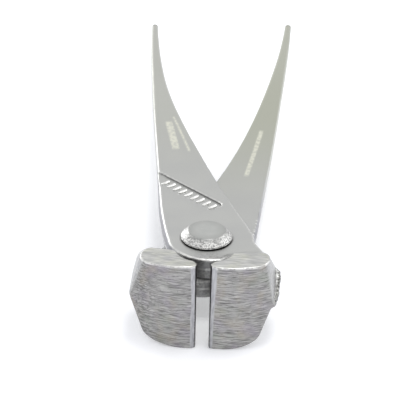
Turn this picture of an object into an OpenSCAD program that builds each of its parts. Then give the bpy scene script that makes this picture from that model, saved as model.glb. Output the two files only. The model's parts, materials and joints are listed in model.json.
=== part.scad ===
/* [Overall] */
// Distance from the pivot to the handle tips
handle_reach = 221; // [190:1:240]
// Distance from the pivot to the front of the jaws, where they meet
jaw_reach = 26.9; // [25:0.1:30]
// Length of the cutting edges, which is the height of the jaws
jaw_w = 26.8; // [24:0.2:32]
// Angle between the levers as the tool is stored
rest_angle = 8.1; // [2:0.1:12]

/* [Joint] */
// Thickness of each lever's joint plate
plate_t = 6.5; // [5:0.1:7.5]
// Radius of the round joint plates
plate_r = 12.6; // [12:0.1:13]
// Shift of each plate's centre towards its own jaw
plate_shift = 1.2; // [0.6:0.1:1.6]
// Height of the chamfer along the front of each joint plate
plate_chamfer = 0.8; // [0.4:0.1:1.2]
// Angle that the chamfer runs round the plate, from its free side to its own jaw
chamfer_angle = 118; // [90:1:120]
// Radius of the shoulder wall behind each jaw
wall_r = 13.5; // [13.2:0.1:14.2]
// Running gap between the two joint plates
plate_gap = 0.1; // [0.06:0.02:0.3]
// Radius of the flat round the rivet, from which the jaws rise
spot_r = 13; // [12.8:0.1:13.4]
// Angle at which the jaws rise from that flat
flare_angle = 45; // [38:1:55]

/* [Rivet] */
// Radius of the rivet's shank
shank_r = 4.2; // [3:0.1:5]
// Radial clearance between the shank and the bores
bore_clearance = 0.05; // [0.02:0.01:0.1]
// Diameter of the upper head at its rim
head_d = 15.4; // [13:0.1:16]
// Diameter of the upper head's flat top
head_flat_d = 11; // [8:0.1:12]
// Height of the upper head's straight rim
head_rim = 0.5; // [0.2:0.1:1]
// Height of the upper head's cone
head_cone = 2; // [1:0.1:3]
// Running gap under the upper head
head_gap = 0.06; // [0.04:0.02:0.2]
// Diameter of the formed lower head
foot_d = 13.4; // [11:0.1:15]
// Height of the formed lower head
foot_h = 1.6; // [1:0.1:2.4]

/* [Jaws] */
// Radius of the ground front face of the jaws
crown_r = 25; // [22:0.5:34]
// Half width of the closed jaws at their front corners
jaw_half = 18.3; // [17:0.1:20]
// Distance from the front of the jaws, where they meet, back to their front corners
corner_setback = 1.9; // [1:0.1:3]
// Depth of the flat tops of the jaws at their outer ends
top_depth = 7.7; // [5:0.1:8.5]
// Width of the bevel along each cutting edge
edge_bevel_w = 0.8; // [0.4:0.1:1.4]
// Depth of the bevel along each cutting edge
edge_bevel_d = 1.4; // [0.8:0.1:2]
// Depth of the narrow flat on which the cutting edges meet
edge_land = 0.15; // [0.05:0.05:0.4]
// Radius of the throat behind the cutting edges
throat_r = 6.8; // [5.5:0.1:7.2]
// Distance from the pivot to the throat's centre
throat_reach = 17.4; // [17:0.1:18.5]
// Angle of each jaw's inner face at the cutting edge
edge_angle = 43; // [36:1:48]
// Angle by which the side faces spread towards the joint
side_spread = 9; // [4:0.5:12]
// Draft of the side faces above the middle plane
draft_up = 13.2; // [8:0.2:15]
// Draft of the side faces below the middle plane
draft_down = 17.5; // [10:0.5:20]
// Width of the rounded lower corner of each jaw
low_corner_w = 5.6; // [3:0.2:7]
// Height of the rounded lower corner of each jaw
low_corner_h = 4.4; // [3:0.2:7]
// How far the forging flash stands out of the side faces
flash_out = 0.4; // [0.3:0.1:1]
// Height of the forging flash
flash_h = 3; // [2:0.1:5]
// Length of the forging flash along the side
flash_long = 12.5; // [8:0.5:13]

/* [Handles] */
// Distance from the middle line to the outer edges of the closed handles
handle_half = 20; // [18:0.2:24]
// Width of each handle at its tip
tip_w = 3.2; // [2.6:0.1:5]
// Thickness of each handle at its tip
tip_t = 4.8; // [3:0.1:7]
// Thickness of each handle at its middle
mid_t = 6.8; // [5:0.1:9]
// How far each handle's tip passes the middle plane
tip_drop = 1; // [0:0.1:1.6]

/* [Panel] */
// Width of the recessed panel on the upper lever
panel_w = 6.2; // [4:0.1:7]
// Depth of the recessed panel
panel_depth = 0.5; // [0.3:0.1:0.8]
// Angle of the recessed panel to the cross line of the tool
panel_angle = 48; // [42:1:52]
// Distance from the pivot to the panel's round end, along the tool
panel_end_y = 19; // [18:0.5:22]
// Distance from the middle line to the panel's round end
panel_end_x = 2.7; // [1:0.1:3.5]
// Number of plain ribs in the panel
rib_count = 9; // [5:1:11]
// Width of each rib
rib_w = 0.8; // [0.5:0.1:1]
// Space left at each side of the ribs
rib_margin = 1.2; // [0.8:0.1:1.6]

/* [Hidden] */

// Steps along each curved outline
steps = 18;
curve_fn = 96;
// One overrun serves every cut
cut = 1;

half_gap = plate_gap / 2;
jaw_half_w = jaw_w / 2;
bore_r = shank_r + bore_clearance;
head_z = plate_t + head_gap;

// Centres of the round front face and of the round handle tip, with the tool closed
crown_centre = [jaw_half / 3, sqrt(pow(crown_r, 2) - pow(jaw_half / 3, 2)) - jaw_reach];
front_reach = crown_r - crown_centre[1];
tip_r = tip_w / 2;
tip_centre = [-handle_half * 0.91, handle_reach - tip_r];

// The origin is at the bottom centre of the tool at rest, which sets the pivot's place
half_open = rest_angle / 2;
rest_front = crown_r - crown_centre[1] * cos(half_open) - crown_centre[0] * sin(half_open);
rest_back = tip_r + tip_centre[1] * cos(half_open) + tip_centre[0] * sin(half_open);
pivot = [0, (rest_front - rest_back) / 2, jaw_half_w];

// Places along the handle where it leaves its own half and where it settles at mid height
lap_end = handle_reach * 0.28;
settle_end = handle_reach * 0.69;

// Control points of the handle's edges, as shares of its half width and reach
root_shares = [[0.56, -0.007], [0.61, 0.012], [0.67, 0.063], [0.687, 0.09]];
outer_shares = [[0.687, 0.09], [0.78, 0.262], [1.015, 0.765], [0.985, 0.99]];
inner_shares = [[-0.672, 0.016], [0.65, 0.408], [0.77, 0.77], [0.835, 0.99]];

function along(shares) = [for (s = shares) [-s[0] * handle_half, s[1] * handle_reach]];

function curve_point(c, t) =
    pow(1 - t, 3) * c[0] + 3 * pow(1 - t, 2) * t * c[1]
    + 3 * (1 - t) * pow(t, 2) * c[2] + pow(t, 3) * c[3];

function curve(c) = [for (i = [0:steps]) curve_point(c, i / steps)];

function reversed(list) = [for (i = [len(list) - 1:-1:0]) list[i]];

function eased(s) = s * s * (3 - 2 * s);

// Share of the way from the lap's height to the tip's height at a place along the handle
function settled(y) = eased(min(1, max(0, (y - lap_end) / (settle_end - lap_end))));

function mid_z(y) = (1 - settled(y)) * (half_gap + plate_t) / 2 - settled(y) * tip_drop;

function handle_t(y) =
    y < settle_end
    ? (1 - settled(y)) * (plate_t - half_gap) + settled(y) * mid_t
    : mid_t + (tip_t - mid_t) * (y - settle_end) / (handle_reach - settle_end);

// Outline of the lever's own half seen from above, with the jaw side at +X
module lever_outline() {
    translate([plate_shift, 0])
        circle(r = plate_r, $fn = curve_fn);
    polygon(concat(
        curve(along(root_shares)),
        curve(along(outer_shares)),
        reversed(curve(along(inner_shares)))));
    translate(tip_centre)
        circle(r = tip_r, $fn = curve_fn);
    neck_outline();
}

// Neck that carries the jaw on its own joint plate
module neck_outline() {
    waist = [plate_shift + plate_r * 0.97, plate_r * 0.22];
    polygon([
        [plate_r * 0.7, 0],
        waist,
        [waist[0] + plate_r * 0.02, -plate_r * 0.13],
        [shoulder[0] - plate_r * 0.36, shoulder[1] + plate_r * 0.1],
        [shoulder[0] - plate_r * 0.2, shoulder[1] - plate_r * 0.3],
        [plate_r * 0.7, shoulder[1] - plate_r * 0.3]
    ]);
}

// Side view of the lever's own half, drawn with its length along X
module lever_side() {
    places = [for (i = [0:steps * 2]) lap_end + (handle_reach - lap_end) * i / (steps * 2)];
    polygon(concat(
        [[-jaw_reach, half_gap], [-jaw_reach, plate_t]],
        [for (y = places) [y, mid_z(y) + handle_t(y) / 2]],
        reversed([for (y = places) [y, mid_z(y) - handle_t(y) / 2]])));
}

// Turns a side view into a solid that spans the width of the tool
module across(width) {
    rotate([90, 0, 90])
        translate([0, 0, -width / 2])
            linear_extrude(width)
                children();
}

// Joint plate, neck and handle, whose plate has a chamfer along its free front edge
module own_half() {
    difference() {
        intersection() {
            linear_extrude(plate_t * 4, center = true)
                lever_outline();
            across(handle_half * 4)
                lever_side();
        }
        translate([plate_shift, 0, plate_t - plate_chamfer])
            rotate([0, 0, 180])
                rotate_extrude(angle = chamfer_angle, $fn = curve_fn)
                    polygon([
                        [plate_r, 0],
                        [plate_r + cut, 0],
                        [plate_r + cut, plate_chamfer + cut],
                        [plate_r - plate_chamfer - cut, plate_chamfer + cut]
                    ]);
    }
}

// Front corner of the closed jaw at the middle plane
corner = [jaw_half, corner_setback - jaw_reach];
side = [sin(side_spread), cos(side_spread)];
shoulder_y = -plate_r * 0.76;
shoulder = corner + side * (shoulder_y - corner[1]) / side[1];
flat_back_y = top_depth - front_reach;

// Outline of the jaw and its neck seen from above
module jaw_outline() {
    difference() {
        intersection() {
            translate(crown_centre)
                circle(r = crown_r, $fn = curve_fn * 2);
            polygon([
                [throat_r * 0.9, shoulder_y],
                [0, edge_bevel_d - jaw_reach],
                [edge_bevel_w, -front_reach - cut],
                [corner[0] - side[0] * crown_r, corner[1] - side[1] * crown_r],
                shoulder - [0, plate_r * 0.36],
                shoulder - [plate_r * 0.36, 0]
            ]);
        }
        throat();
    }
}

// Space behind the cutting edges, bounded by a round and the inner face of the edge
module throat() {
    face = [sin(edge_angle), cos(edge_angle)];
    centre = [0, -throat_reach];
    tip = [0, edge_bevel_d + edge_land - jaw_reach];
    translate(centre)
        circle(r = throat_r, $fn = curve_fn);
    polygon([
        tip,
        tip + face * throat_r * 0.92,
        centre + [throat_r * 0.7, 0],
        centre - [throat_r * 0.7, 0],
        tip + [-face[0], face[1]] * throat_r * 0.92
    ]);
}

// Side view of the jaw, drawn with its length along X: it fans out towards the edges
module jaw_side() {
    z = jaw_half_w;
    polygon([
        [-front_reach - cut, -z],
        [-front_reach - cut, z],
        [flat_back_y, z],
        [shoulder_y, plate_t],
        [shoulder_y, -plate_t],
        [flat_back_y, -z]
    ]);
}

// Front view of the jaw: drafted sides, a flat top and a rounded lower corner.
// It runs along the side faces, so that they are flat.
module jaw_front() {
    z = jaw_half_w;
    up = z * tan(draft_up);
    corner_z = z - low_corner_h;
    down = corner_z * tan(draft_down);
    low = curve([
        [-down, -corner_z],
        [-down - low_corner_w * 0.2, low_corner_h * 0.42 - z],
        [-down - low_corner_w * 0.7, low_corner_h * 0.1 - z],
        [-down - low_corner_w * 1.75, -z]
    ]);
    polygon(concat([[-jaw_half, -z], [-jaw_half, z], [-up, z], [0, 0]], low));
}

// Space round the rivet on one face of the joint, which widens away from the plate
module rivet_space() {
    rise = jaw_half_w + cut - plate_t;
    translate([0, 0, plate_t])
        rotate_extrude($fn = curve_fn)
            polygon([[0, 0], [spot_r, 0], [spot_r + rise / tan(flare_angle), rise], [0, rise]]);
}

// Jaw over its full height. The flat top is at +Z or, for the lever below, at -Z.
module jaw(top) {
    difference() {
        intersection() {
            linear_extrude(jaw_w + cut, center = true)
                jaw_outline();
            across(jaw_half * 4)
                jaw_side();
            translate([corner[0], corner[1], 0])
                rotate([0, 0, -side_spread])
                    scale_z(top)
                        rotate([90, 0, 0])
                            linear_extrude(jaw_reach * 4, center = true)
                                jaw_front();
        }
        rivet_space();
        scale_z(-1)
            rivet_space();
    }
}

// Turns a solid upside down when top is -1
module scale_z(top) {
    if (top > 0)
        children();
    else
        mirror([0, 0, 1])
            children();
}

// Rib that the forging dies left along the middle of the upper lever's jaw
module flash() {
    rise = flash_out * 1.4;
    round_r = (pow(flash_h / 2, 2) + pow(rise, 2)) / (2 * rise);
    side_y = (shoulder_y - corner[1]) * 0.56;
    translate([corner[0], corner[1], 0])
        rotate([0, 0, -side_spread])
            translate([flash_out, side_y, 0])
                intersection() {
                    translate([-round_r, 0, 0])
                        rotate([90, 0, 0])
                            cylinder(r = round_r, h = flash_long * 2, center = true, $fn = curve_fn);
                    linear_extrude(flash_h, center = true)
                        flash_outline();
                }
}

module flash_outline() {
    half = flash_long / 2;
    polygon([
        [-flash_out * 4, -half],
        [-flash_out * 0.9, -half],
        [-flash_out * 0.2, -half * 0.3],
        [0, half * 0.3],
        [-flash_out * 0.5, half * 0.8],
        [-flash_out * 4, half]
    ]);
}

// One forging: the handle at -X and the jaw at +X, closed, with the pivot at the origin
module forging(top) {
    difference() {
        union() {
            own_half();
            difference() {
                union() {
                    jaw(top);
                    if (top > 0)
                        flash();
                }
                translate([0, 0, half_gap - jaw_w])
                    cylinder(r = wall_r, h = jaw_w, $fn = curve_fn);
            }
        }
        cylinder(r = bore_r, h = plate_t * 4, center = true, $fn = curve_fn);
    }
}

// Outline of the recessed panel, open at the handle's outer edge
module panel_outline() {
    r = panel_w / 2;
    circle(r = r, $fn = curve_fn);
    translate([-handle_half * 2, -r])
        square([handle_half * 2, panel_w]);
}

module panel() {
    pitch = panel_w * 0.52;
    first = panel_w * 0.35;
    translate([panel_end_x, panel_end_y, plate_t - panel_depth])
        rotate([0, 0, -panel_angle])
            linear_extrude(panel_depth + cut)
                difference() {
                    panel_outline();
                    for (i = [0:rib_count - 1])
                        translate([-first - pitch * i, 0])
                            square([rib_w, panel_w - 2 * rib_margin], center = true);
                }
}

module upper_lever() {
    color("silver")
        translate(pivot)
            rotate([0, 0, half_open])
                difference() {
                    forging(1);
                    panel();
                }
}

module lower_lever() {
    color("darkgray")
        translate(pivot)
            rotate([0, 0, -half_open])
                rotate([0, 180, 0])
                    forging(-1);
}

// Rivet with a flat-topped conical head above and a formed head below
module rivet() {
    color("gainsboro")
        translate(pivot)
            rotate_extrude($fn = curve_fn)
                polygon([
                    [0, -plate_t - foot_h],
                    [foot_d / 2 - foot_h, -plate_t - foot_h],
                    [foot_d / 2, -plate_t],
                    [shank_r, -plate_t],
                    [shank_r, head_z],
                    [head_d / 2, head_z],
                    [head_d / 2, head_z + head_rim],
                    [head_flat_d / 2, head_z + head_rim + head_cone],
                    [0, head_z + head_rim + head_cone]
                ]);
}

upper_lever();
lower_lever();
rivet();
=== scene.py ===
"""End cutting nippers: two forged levers and their rivet, with a row of bars in a recess, dressed on
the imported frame."""
import json
import math
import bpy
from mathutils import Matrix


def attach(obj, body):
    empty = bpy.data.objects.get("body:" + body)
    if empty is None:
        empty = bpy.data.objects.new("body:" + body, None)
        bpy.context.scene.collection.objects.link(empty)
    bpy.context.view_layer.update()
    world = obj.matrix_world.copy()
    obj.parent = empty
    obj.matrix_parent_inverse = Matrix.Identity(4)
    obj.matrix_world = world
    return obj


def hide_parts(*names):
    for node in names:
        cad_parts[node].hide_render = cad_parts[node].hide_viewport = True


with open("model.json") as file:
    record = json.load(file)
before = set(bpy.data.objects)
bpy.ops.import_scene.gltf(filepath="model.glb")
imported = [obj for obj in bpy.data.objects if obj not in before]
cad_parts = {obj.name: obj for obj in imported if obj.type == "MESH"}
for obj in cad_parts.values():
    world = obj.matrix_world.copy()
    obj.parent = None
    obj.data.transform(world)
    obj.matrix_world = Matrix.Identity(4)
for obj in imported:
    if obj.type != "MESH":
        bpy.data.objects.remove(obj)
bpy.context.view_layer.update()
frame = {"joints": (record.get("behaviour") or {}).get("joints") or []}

from types import SimpleNamespace

import bpy
import numpy as np
from mathutils import Matrix, Vector

MM = 0.001
PIVOT = Vector(frame["joints"][0]["pos_m"])

# Sizes of the forgings, in mm, for the closed tool with its pivot at the origin.
# A lever has its handle at -X, its jaw at +X and its joint plate above the middle plane.
HALF_OPEN = math.radians(4.05)
HANDLE_REACH = 221.0
HANDLE_HALF = 20.0
TIP_R = 1.6
TIP_T = 4.8
TIP_DROP = 1.0
MID_T = 6.8
LAP_END = HANDLE_REACH * 0.28
SETTLE_END = HANDLE_REACH * 0.69
PLATE_T = 6.5
PLATE_R = 12.6
PLATE_SHIFT = 1.2
WALL_R = 13.5
SPOT_R = 13.0
FLARE_SLOPE = 1.0
HALF_GAP = 0.05
BORE_R = 4.25
JAW_REACH = 26.9
JAW_TALL = 13.4
JAW_HALF = 18.3
CROWN_R = 25.0
CORNER_SETBACK = 1.9
TOP_DEPTH = 7.7
THROAT_R = 6.8
THROAT_REACH = 17.4
EDGE_LAND = 0.15
EDGE_D = 1.4
BEVEL_DEPTH = 1.3
BEVEL_FRONT = 0.62
BEVEL_BACK = 2.56
EDGE_ANGLE = math.radians(43)
DRAFT_DOWN = math.radians(17.5)
LOW_CORNER_W = 5.6
LOW_CORNER_H = 4.4

# Places that follow from those sizes: the jaw's front corner, its shoulder behind, the middle of its
# round front, and how far that front reaches past the pivot
CORNER = (JAW_HALF, CORNER_SETBACK - JAW_REACH)
SHOULDER_Y = -PLATE_R * 0.76
SHOULDER_X = CORNER[0] + 0.158 * (SHOULDER_Y - CORNER[1])
CROWN = (JAW_HALF / 3, math.sqrt(CROWN_R ** 2 - (JAW_HALF / 3) ** 2) - JAW_REACH)
FRONT_REACH = CROWN_R - CROWN[1]

# How far the ground faces stay inside the solids' box, and the room cut into the shoulder's back for the
# other lever's parting line when the tool is wide open, in mm
INSIDE = 0.002
SHOULDER_ROOM = 0.25

# Rounding of the edges, in mm: rolled where the dies left them, crisp where they are ground
PLATE_ROUND = 0.9
LAP_ROUND = 0.25
HANDLE_ROUND = 1.5
GROUND_ROUND = 0.22
PARTING_ROUND = 0.3
FLARE_ROUND = 2.4
SPOT_ROUND = 1.0
NECK_ROUND = 1.0
WALL_ROUND = 0.1
CRISP = 0.05

# Depths below the jaw's end over which its shoulder's rounding changes, and where its toe rises across
# and along the jaw, in mm
SHOULDER_FADE = (0.5, 5)
TOE_X = (5, 12)
TOE_Y = (20, 26)

# The fin of flash along the upper lever's jaw, in mm. It climbs to the neck's parting line, and fades
# over its last part.
FLASH_OUT = 0.95
FLASH_T = 0.75
FLASH_LONG = 17.5
FLASH_RISE = 4.4
FLASH_CLIMB = (4, 15)
FLASH_FADE = (9, 16)
FLASH_ROUND = 0.3
FLASH_ROOT = 0.35

# How far the parting line stands out along the joint's sides, in mm, and where that begins and ends
PARTING_OUT = 0.45
PARTING_START = (-9, -4)
PARTING_END = (20, 45)

# Where the inner edge of a handle's root is crisper than its outer edge, in mm
INNER_X = (-11, -8)
INNER_Y = (2, 8)
INNER_END = (55, 75)

# The nick in the front edge of the lower joint plate, in mm
CHIP = 1.5
CHIP_HALF = 3.2

# The slanting recess on the upper lever and its plain bars, in mm
RECESS_W = 6.3
RECESS_DEPTH = 0.55
RECESS_ANGLE = math.radians(48)
RECESS_START = (2.7, 19.0)
RECESS_OVER = 1.5
RECESS_CORNER = 1.6
RECESS_ROUND = 0.15
BAR_COUNT = 9
BAR_R = 0.46
BAR_LONG = 3.9
BAR_STEP = 2.72
BAR_LEAN = math.radians(6)
BAR_LIFT = 0.2
BAR_TOP = 0.12

# The rivet, in mm
SHANK_R = 4.2
HEAD_R = 7.5
HEAD_FLAT_R = 5.5
HEAD_GAP = 0.06
HEAD_RIM = 0.5
HEAD_CONE = 2.0
FOOT_R = 6.7
FOOT_H = 1.6
TURNED_ROUND = 0.18
TURNED_SIDES = 128

# Radii round the pivot that the finishes follow, in mm: the joint plate's edge, and the ring of
# painted shadow round the rivet's head
PLATE_ZONE_R = 13.4
SHADE_RING_R = 7.9

# Steps of the grid that the forgings are sampled on, in mm, fine as far as the recess's end
STEP_X = 0.34
STEP_Z = 0.3
STEP_HEAD = 0.3
STEP_HANDLE = 1.2
HEAD_END = 40

# The handle's edges: each point's share of its half width and of its reach
OUTER_SHARES = [(0.687, 0.09), (0.78, 0.262), (1.015, 0.765), (0.985, 0.99)]
ROOT_SHARES = [(0.56, -0.007), (0.61, 0.012), (0.67, 0.063), (0.687, 0.09)]
INNER_SHARES = [(-0.672, 0.016), (0.65, 0.408), (0.77, 0.77), (0.835, 0.99)]
CURVE_STEPS = 18


# Outlines and fields. A field is the distance in mm to a shape's surface, below zero inside it.

def bezier(points, steps):
    """Points along a curve from its four control points."""
    a, b, c, d = (np.array(p, float) for p in points)
    curve = []
    for t in np.linspace(0, 1, steps + 1):
        s = 1 - t
        curve.append(tuple(s ** 3 * a + 3 * s ** 2 * t * b + 3 * s * t * t * c + t ** 3 * d))
    return curve


def handle_curve(shares):
    """One edge of the handle, from shares of its half width and reach."""
    return bezier([(-s * HANDLE_HALF, t * HANDLE_REACH) for s, t in shares], CURVE_STEPS)


def outline_field(points, u, v):
    """Distance to a closed outline in a plane."""
    nearest = np.inf
    inside = False
    for (au, av), (bu, bv) in zip(points, points[1:] + points[:1]):
        eu, ev = bu - au, bv - av
        wu, wv = u - au, v - av
        t = np.clip((wu * eu + wv * ev) / (eu * eu + ev * ev), 0, 1)
        nearest = np.minimum(nearest, (wu - eu * t) ** 2 + (wv - ev * t) ** 2)
        if ev:
            passes = ((av > v) != (bv > v)) & (wu < eu * wv / ev)
            inside = inside ^ passes
    return np.where(inside, -1, 1) * np.sqrt(nearest)


def both(a, b, r):
    """What two shapes share, with an edge of radius r where they meet."""
    return np.minimum(-r, np.maximum(a, b)) + np.hypot(np.maximum(a + r, 0), np.maximum(b + r, 0))


def either(a, b, r):
    """Two shapes joined, with a hollow of radius r where they meet."""
    return -both(-a, -b, r)


def smoothly(value, low, high):
    """From 0 at low to 1 at high, without a corner."""
    t = np.clip((value - low) / (high - low), 0, 1)
    return t * t * (3 - 2 * t)


def settled(y):
    """Share of the way from the lap's height to the tip's height."""
    return smoothly(y, LAP_END, SETTLE_END)


def handle_levels(y):
    """Heights of the handle's underside and top at a place along it."""
    share = settled(y)
    middle = (1 - share) * (HALF_GAP + PLATE_T) / 2 - share * TIP_DROP
    thick = (1 - share) * (PLATE_T - HALF_GAP) + share * MID_T
    taper = np.clip((y - SETTLE_END) / (HANDLE_REACH - SETTLE_END), 0, 1)
    thick = thick + taper * (TIP_T - MID_T)
    return middle - thick / 2, middle + thick / 2


def plan_field(x, y):
    """Joint plate, handle and neck, seen from above."""
    handle = outline_field(
        handle_curve(ROOT_SHARES) + handle_curve(OUTER_SHARES)[1:] + handle_curve(INNER_SHARES)[::-1], x, y)
    tip = np.hypot(x + HANDLE_HALF * 0.91, y - HANDLE_REACH + TIP_R) - TIP_R
    plate = np.hypot(x - PLATE_SHIFT, y) - PLATE_R
    waist = PLATE_SHIFT + PLATE_R * 0.97
    neck = outline_field([
        (PLATE_R * 0.7, 0.0),
        (waist, PLATE_R * 0.22),
        (waist + PLATE_R * 0.02, -PLATE_R * 0.13),
        (SHOULDER_X - PLATE_R * 0.36, SHOULDER_Y + PLATE_R * 0.1),
        (SHOULDER_X - PLATE_R * 0.34, SHOULDER_Y - PLATE_R * 0.3),
        (PLATE_R * 0.7, SHOULDER_Y - PLATE_R * 0.3)], x, y)
    return either(np.minimum(np.minimum(handle, tip), plate), neck, NECK_ROUND)


def crown_field(x, y, z, lever):
    """The round, ground front of the jaws, whose middle moves to the cutting edge towards the bottom."""
    shift = lever["crown_lean"] * np.clip(-z / JAW_TALL, 0, 1)
    return np.hypot(x - CROWN[0] + shift, y - CROWN[1] - shift * math.tan(HALF_OPEN)) - CROWN_R + INSIDE


def bevel_field(x, y, z, widths):
    """The bevel along the cutting edge, with its widths at the bottom and top: a face that looks
    forward and a steeper one behind it."""
    low, high = widths
    width = low + (high - low) * np.clip(z / JAW_TALL * 0.5 + 0.5, 0, 1)
    front = (-BEVEL_FRONT * x - (y + JAW_REACH - BEVEL_FRONT * width)) / math.hypot(BEVEL_FRONT, 1)
    back = (-BEVEL_BACK * x - (y + JAW_REACH - BEVEL_DEPTH * width)) / math.hypot(BEVEL_BACK, 1)
    return np.maximum(front, back)


def throat_field(x, y):
    """The space behind the cutting edges."""
    reach = THROAT_R * 0.92
    tip = (0.0, EDGE_D + EDGE_LAND - JAW_REACH)
    face = (math.sin(EDGE_ANGLE) * reach, math.cos(EDGE_ANGLE) * reach)
    wedge = outline_field([
        tip,
        (face[0], tip[1] + face[1]),
        (THROAT_R * 0.7, -THROAT_REACH),
        (-THROAT_R * 0.7, -THROAT_REACH),
        (-face[0], tip[1] + face[1])], x, y)
    return np.minimum(np.hypot(x, y + THROAT_REACH) - THROAT_R, wedge)


def side_place(x, y, lever):
    """How far a place is outside the jaw's side face, and how far along it from the front corner."""
    dx, dy = x - CORNER[0] - lever["side_out"], y - CORNER[1]
    cos, sin = math.cos(lever["spread"]), math.sin(lever["spread"])
    return dx * cos - dy * sin, dx * sin + dy * cos


def ragged(t, phase):
    """An uneven run of values between -1 and 1, as of torn metal."""
    waves = np.sin(1.3 * t + phase) + np.sin(3.1 * t + 2.3 * phase) + 0.7 * np.sin(6.7 * t + 0.6 * phase)
    return waves / 2.7


def flash_field(x, y, z, lever):
    """The torn fin that the dies left along the middle of the jaw's side."""
    out, along = side_place(x, y, lever)
    reach = FLASH_OUT * (0.45 + 0.55 * smoothly(along, 0, 6) + 0.16 * ragged(along, 1.0))
    reach = reach * (1 - 0.8 * smoothly(along, *FLASH_FADE))
    thick = FLASH_T * (1 + 0.2 * smoothly(along, 6, 14) + 0.25 * ragged(along, 4.0))
    middle = FLASH_RISE * smoothly(along, *FLASH_CLIMB) + 0.25 * ragged(along, 2.0)
    fin = both(np.abs(z - middle) - thick, out - reach, FLASH_ROUND)
    return np.maximum(fin, np.abs(along - FLASH_LONG / 2 + 0.5) - FLASH_LONG / 2)


def flank_field(x, y, z, lever):
    """The forged sides of the jaw, drafted both ways from the middle plane. The lower die may sit
    inwards of the upper one, which leaves a ledge under the parting line."""
    out, _ = side_place(x, y, lever)
    z = z - lever["parting"]
    upper = (out + z * math.tan(lever["draft_up"])) * math.cos(lever["draft_up"])
    lower = (out + lever["die_step"] - z * math.tan(DRAFT_DOWN)) * math.cos(DRAFT_DOWN)
    ledge = (out - z - 0.55 * lever["die_step"]) * math.sqrt(0.5)
    side = both(upper, np.minimum(lower, ledge), PARTING_ROUND)
    if lever["flash"]:
        side = either(side, flash_field(x, y, z, lever), FLASH_ROOT)
    return side


def rim_field(x, y, z, lever):
    """The round lower corner of the jaw, seen from the front."""
    out, _ = side_place(x, y, lever)
    corner_z = LOW_CORNER_H - JAW_TALL
    down = corner_z * math.tan(DRAFT_DOWN)
    rim = bezier([
        (down, corner_z),
        (down - LOW_CORNER_W * 0.2, LOW_CORNER_H * 0.42 - JAW_TALL),
        (down - LOW_CORNER_W * 0.7, LOW_CORNER_H * 0.1 - JAW_TALL),
        (down - LOW_CORNER_W * 1.75, -JAW_TALL)], 8)
    return outline_field([
        (-JAW_HALF * 1.5, -JAW_TALL), (-JAW_HALF * 1.5, JAW_TALL * 2),
        (JAW_HALF, JAW_TALL * 2), (JAW_HALF, corner_z)] + rim, out, z)


def slope_field(x, y, z, lever):
    """The jaw's back slopes, which fall from its ground ends to the flat round the rivet."""
    run, fall = SHOULDER_Y - (TOP_DEPTH - FRONT_REACH), JAW_TALL - PLATE_T
    behind = y - TOP_DEPTH + FRONT_REACH - lever["end_widens"] * x
    straight = (behind * fall + (np.abs(z) - JAW_TALL) * run) / math.hypot(run, fall)
    cone = (np.abs(z) - PLATE_T - (np.hypot(x, y) - SPOT_R) * FLARE_SLOPE) / math.hypot(FLARE_SLOPE, 1)
    return both(straight, cone, SPOT_ROUND)


def jaw_field(x, y, z, lever):
    """The whole jaw. Here z points to its flat ground top."""
    seen = outline_field([
        (THROAT_R * 0.9, SHOULDER_Y),
        (0.0, EDGE_D - JAW_REACH),
        (0.0, -FRONT_REACH * 2),
        (JAW_HALF * 2, -FRONT_REACH * 2),
        (SHOULDER_X, SHOULDER_Y - PLATE_R * 0.36),
        (SHOULDER_X - PLATE_R * 0.36, SHOULDER_Y)], x, y)
    corner = PARTING_ROUND + (lever["corner_round"] - PARTING_ROUND) * np.clip(z / JAW_TALL, 0, 1)
    forged = both(flank_field(x, y, z, lever), crown_field(x, y, z, lever), corner)
    high, low = lever["shoulder_round"]
    shoulder = high + (low - high) * smoothly(JAW_TALL - z, *SHOULDER_FADE)
    forged = both(forged, slope_field(x, y, z, lever), shoulder)
    ground = both(forged, rim_field(x, y, z, lever), PARTING_ROUND)
    toe = lever["toe"] * smoothly(x, *TOE_X) * smoothly(-y, *TOE_Y)
    ground = both(ground, np.maximum(z, toe - z) - JAW_TALL + INSIDE, GROUND_ROUND)
    ground = both(ground, -throat_field(x, y), GROUND_ROUND)
    ground = both(ground, seen, CRISP)
    return both(ground, bevel_field(x, y, z, lever["bevel"]), CRISP)


def recess_place(x, y):
    """How far a place is along the recess and across it, from a point on its middle line that lies
    just short of its inner end."""
    dx, dy = x - RECESS_START[0], y - RECESS_START[1]
    cos, sin = math.cos(RECESS_ANGLE), math.sin(RECESS_ANGLE)
    return dx * cos - dy * sin, dx * sin + dy * cos


def recess_floor(across):
    """Height of the recess's floor, which sinks from its lower edge to its upper wall."""
    return PLATE_T - RECESS_DEPTH * smoothly(across, -RECESS_W * 0.55, RECESS_W * 0.2)


def recess_wall(x, y):
    """Distance to the recess's outline, which is closed at its inner end and open at the handle's edge."""
    along, across = recess_place(x, y)
    a = along - RECESS_OVER + RECESS_CORNER
    b = np.abs(across) - RECESS_W / 2 + RECESS_CORNER
    return both(a, b, 0) - RECESS_CORNER


def recess_field(x, y, z):
    """The slanting recess, with its sloping floor."""
    _, across = recess_place(x, y)
    return both(recess_wall(x, y), recess_floor(across) - z, WALL_ROUND)


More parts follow.
